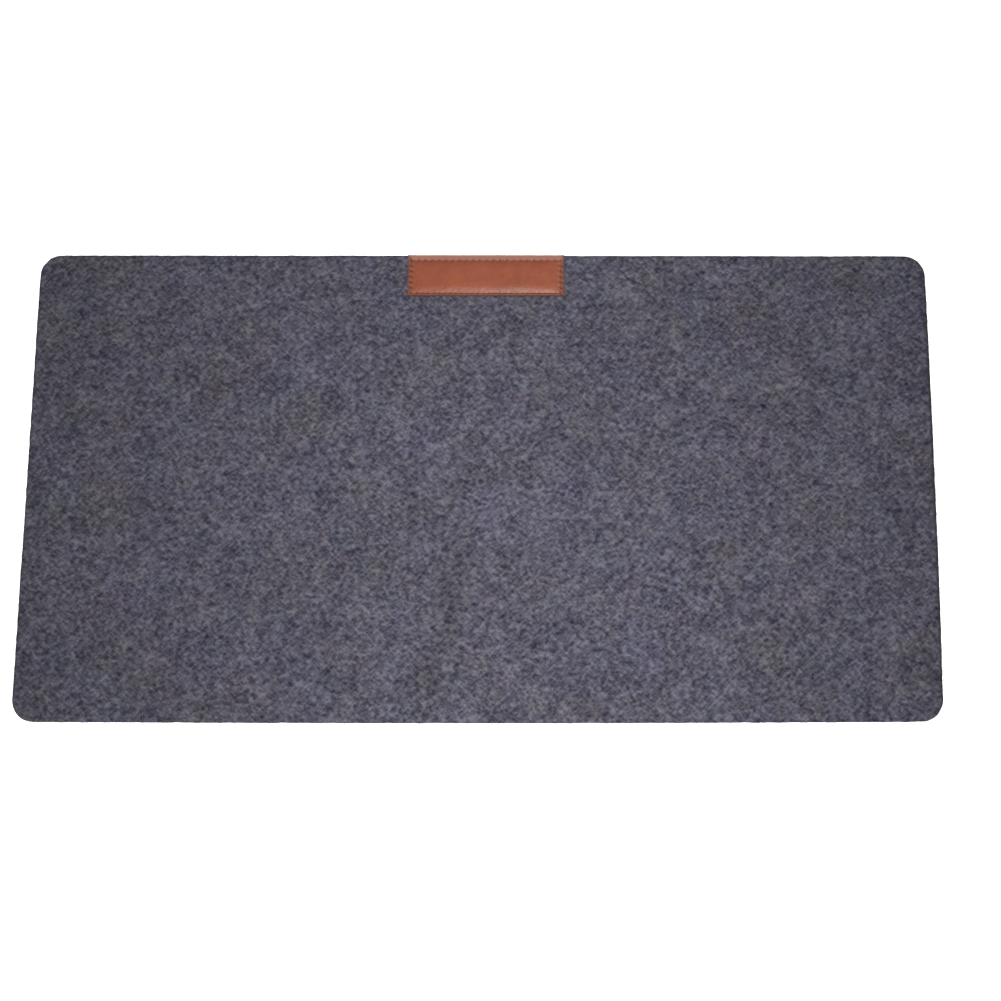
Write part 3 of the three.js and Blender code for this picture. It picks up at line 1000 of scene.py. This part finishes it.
def label_values(points):
    """The painted seam shade, the cut edge with its painted shade, and the painted highlights of
    the leather at its points.
    """
    x, y, z = points.T
    closeness = hole_closeness(x, y)
    between_sides = np.minimum(x - SEAM_LEFT, SEAM_RIGHT - x)

    # Painted shade on the slope in front of the rear row and in the pits round the holes.
    on_flap = 1 - smooth((y - (SEAM_REAR + FLAP_END)) / FLAP_END_FADE)
    from_rear_row = y - (SEAM_REAR - REAR_SHADE_PLACE)
    shade = REAR_SHADE * np.exp(-((from_rear_row / REAR_SHADE_WIDTH) ** 2)) * on_flap
    shade = shade * smooth(between_sides / REAR_SHADE_SIDES)
    painted_seam_shade = np.minimum(1, shade + PIT_SHADE * closeness)

    # Darker cut edge and painted shade on the border falling away to it.
    side_depth = np.minimum(x - LABEL_LO.x, LABEL_HI.x - x)
    side_edge = SIDE_EDGE * (1 - smooth(side_depth / SIDE_EDGE_WIDTH))
    front_edge = FRONT_EDGE * (1 - smooth((y - LABEL_LO.y) / FRONT_EDGE_WIDTH))
    edge_and_painted_shade = np.maximum(side_edge, front_edge)

    # Painted highlights, where the lights are mirrored in the leather.
    from_ridge = y - (SEAM_FRONT + RIDGE_PLACE)
    ridge = np.exp(-((from_ridge / RIDGE_WIDTH) ** 2)) * smooth(between_sides / RIDGE_SIDES)
    fold = smooth((y - (SEAM_REAR - FOLD_PLACE)) / FOLD_WIDTH)
    height = smooth((z - FOLD_LOW) / FOLD_RISE)
    fold = fold * (FOLD_LOW_SHARE + (1 - FOLD_LOW_SHARE) * height)
    painted_highlight = np.maximum(RIDGE_HIGHLIGHT * ridge, FOLD_HIGHLIGHT * fold)
    beside_holes = np.exp(-((between_sides / SIDE_HIGHLIGHT_WIDTH) ** 2)) * (1 - closeness)
    painted_highlight = np.maximum(painted_highlight, SIDE_HIGHLIGHT * beside_holes)
    return {"painted_seam_shade": painted_seam_shade, "edge_and_painted_shade": edge_and_painted_shade, "painted_highlight": painted_highlight}


def needle_shade(points):
    """Painted shade on the needle thread: 1 where it goes down into the leather, and evened out
    along the front row, which lies in shade.
    """
    painted_thread_shade = smooth((NEEDLE_HI.z - NEEDLE_SUNK_DEPTH - points[:, 2]) / SUNK_REACH)
    front_row = smooth((SEAM_FRONT + FRONT_ROW_REACH - points[:, 1]) / SUNK_REACH)
    return painted_thread_shade + (FRONT_ROW_SHADE - painted_thread_shade) * front_row


def bobbin_shade(points):
    """Painted shade on the bobbin thread: 1 where it goes up into the leather."""
    return smooth((points[:, 2] - BOBBIN_LO.z - BOBBIN_SUNK_HEIGHT) / SUNK_REACH)


# ---------------------------------------------------------------------------------------------
# The pieces.
# ---------------------------------------------------------------------------------------------
felt = felt_sheet()
set_attribute(felt, "painted_rim_shade", rim_shade_values(vertices_of(felt)))
felt.data.materials.append(felt_finish())

fibres_light = fibres("felt_fibres_light", seed=41, lying=8300, standing=1700)
fibres_light.data.materials.append(fibre_finish("felt_fibre_light", LIGHT_FIBRE))
fibres_dark = fibres("felt_fibres_dark", seed=42, lying=7300, standing=1700)
fibres_dark.data.materials.append(fibre_finish("felt_fibre_dark", DARK_FIBRE))

label = label_sheet()
for name, values in label_values(vertices_of(label)).items():
    set_attribute(label, name, values)
label.data.materials.append(leather_finish())

needle = twisted_thread(
    "needle_thread_twist",
    run_z=NEEDLE_HI.z - THREAD_RADIUS,
    lock_z=NEEDLE_LO.z + THREAD_RADIUS,
    rise=NEEDLE_RISE,
)
bobbin = twisted_thread(
    "bobbin_thread_twist",
    run_z=BOBBIN_LO.z + PLY_OFFSET + PLY_RADIUS,
    lock_z=BOBBIN_HI.z - THREAD_RADIUS,
    rise=BOBBIN_RISE,
)
set_attribute(needle, "painted_thread_shade", needle_shade(vertices_of(needle)))
set_attribute(bobbin, "painted_thread_shade", bobbin_shade(vertices_of(bobbin)))
thread = thread_finish()
needle.data.materials.append(thread)
bobbin.data.materials.append(thread)

for piece, node, slot in (
    (felt, "felt_panel", "felt"),
    (label, "leather_label", "leather"),
    (needle, "needle_thread", "thread"),
    (bobbin, "bobbin_thread", "thread"),
    (fibres_light, None, "felt"),
    (fibres_dark, None, "felt"),
):
    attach(piece, BODY)
    if node:
        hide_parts(node)

# ---------------------------------------------------------------------------------------------
# The studio: a pale floor, a soft light over the mat, a weaker one behind it, a dim surround, and
# the camera at the photograph's viewing angle.
# ---------------------------------------------------------------------------------------------
FLOOR_REACH = 4.0
FLOOR_DROP = 0.05 * MM
FLOOR_COLOUR = colour(0.93, 0.93, 0.93)
FLOOR_GLOW = 0.8
LIGHT_SPREAD = math.radians(150)
SURROUND = 0.12
TILT_DEGREES = (5.91, -0.11, 0.01)

floor = object_of(
    "floor",
    [
        (-FLOOR_REACH, -FLOOR_REACH, 0),
        (FLOOR_REACH, -FLOOR_REACH, 0),
        (FLOOR_REACH, FLOOR_REACH, 0),
        (-FLOOR_REACH, FLOOR_REACH, 0),
    ],
    [(0, 1, 2, 3)],
)
floor.location.z = -FLOOR_DROP
floor_finish = Finish("pale_floor", Roughness=0.9)
floor_finish.shader.inputs["Base Color"].default_value = FLOOR_COLOUR
floor_finish.shader.inputs["Emission Color"].default_value = colour(1, 1, 1)
floor_finish.shader.inputs["Emission Strength"].default_value = FLOOR_GLOW
floor.data.materials.append(floor_finish.material)


def area_light(name, size, watts, place, aim):
    """A rectangular light at a place, turned to face the point that it aims at."""
    light = bpy.data.lights.new(name, "AREA")
    light.shape = "RECTANGLE"
    light.size, light.size_y = size
    light.energy = watts
    light.spread = LIGHT_SPREAD
    made = bpy.data.objects.new(name, light)
    made.location = place
    heading = Vector(aim) - Vector(place)
    made.rotation_euler = heading.to_track_quat("-Z", "Y").to_euler()
    bpy.context.scene.collection.objects.link(made)
    return made


area_light(
    "softbox", size=(0.26, 0.62), watts=5.43, place=(0.035, -0.14, 0.62), aim=(0.035, -0.11, 0)
)
rear_panel = area_light(
    "rear_panel", size=(0.80, 0.30), watts=1.2, place=(-0.06, 0.66, 0.27), aim=(0, 0.15, 0)
)
# Mirrored in the leather, the rear light would wash it out in low views from the front.
rear_panel.visible_glossy = False

world = bpy.data.worlds.new("studio")
world.use_nodes = True
world.node_tree.nodes["Background"].inputs["Color"].default_value = colour(1, 1, 1)
world.node_tree.nodes["Background"].inputs["Strength"].default_value = SURROUND
bpy.context.scene.world = world

camera_data = bpy.data.cameras.new("camera")
camera_data.sensor_width = 36
camera_data.lens = 30.57
camera_data.shift_x = -0.0748
camera_data.shift_y = -0.0266
camera_data.clip_start = 0.01
camera = bpy.data.objects.new("camera", camera_data)
camera.location = (0.0647, -0.0554, 0.5904)
camera.rotation_euler = [math.radians(angle) for angle in TILT_DEGREES]
bpy.context.scene.collection.objects.link(camera)
bpy.context.scene.camera = camera
bpy.context.scene.view_settings.view_transform = "Standard"
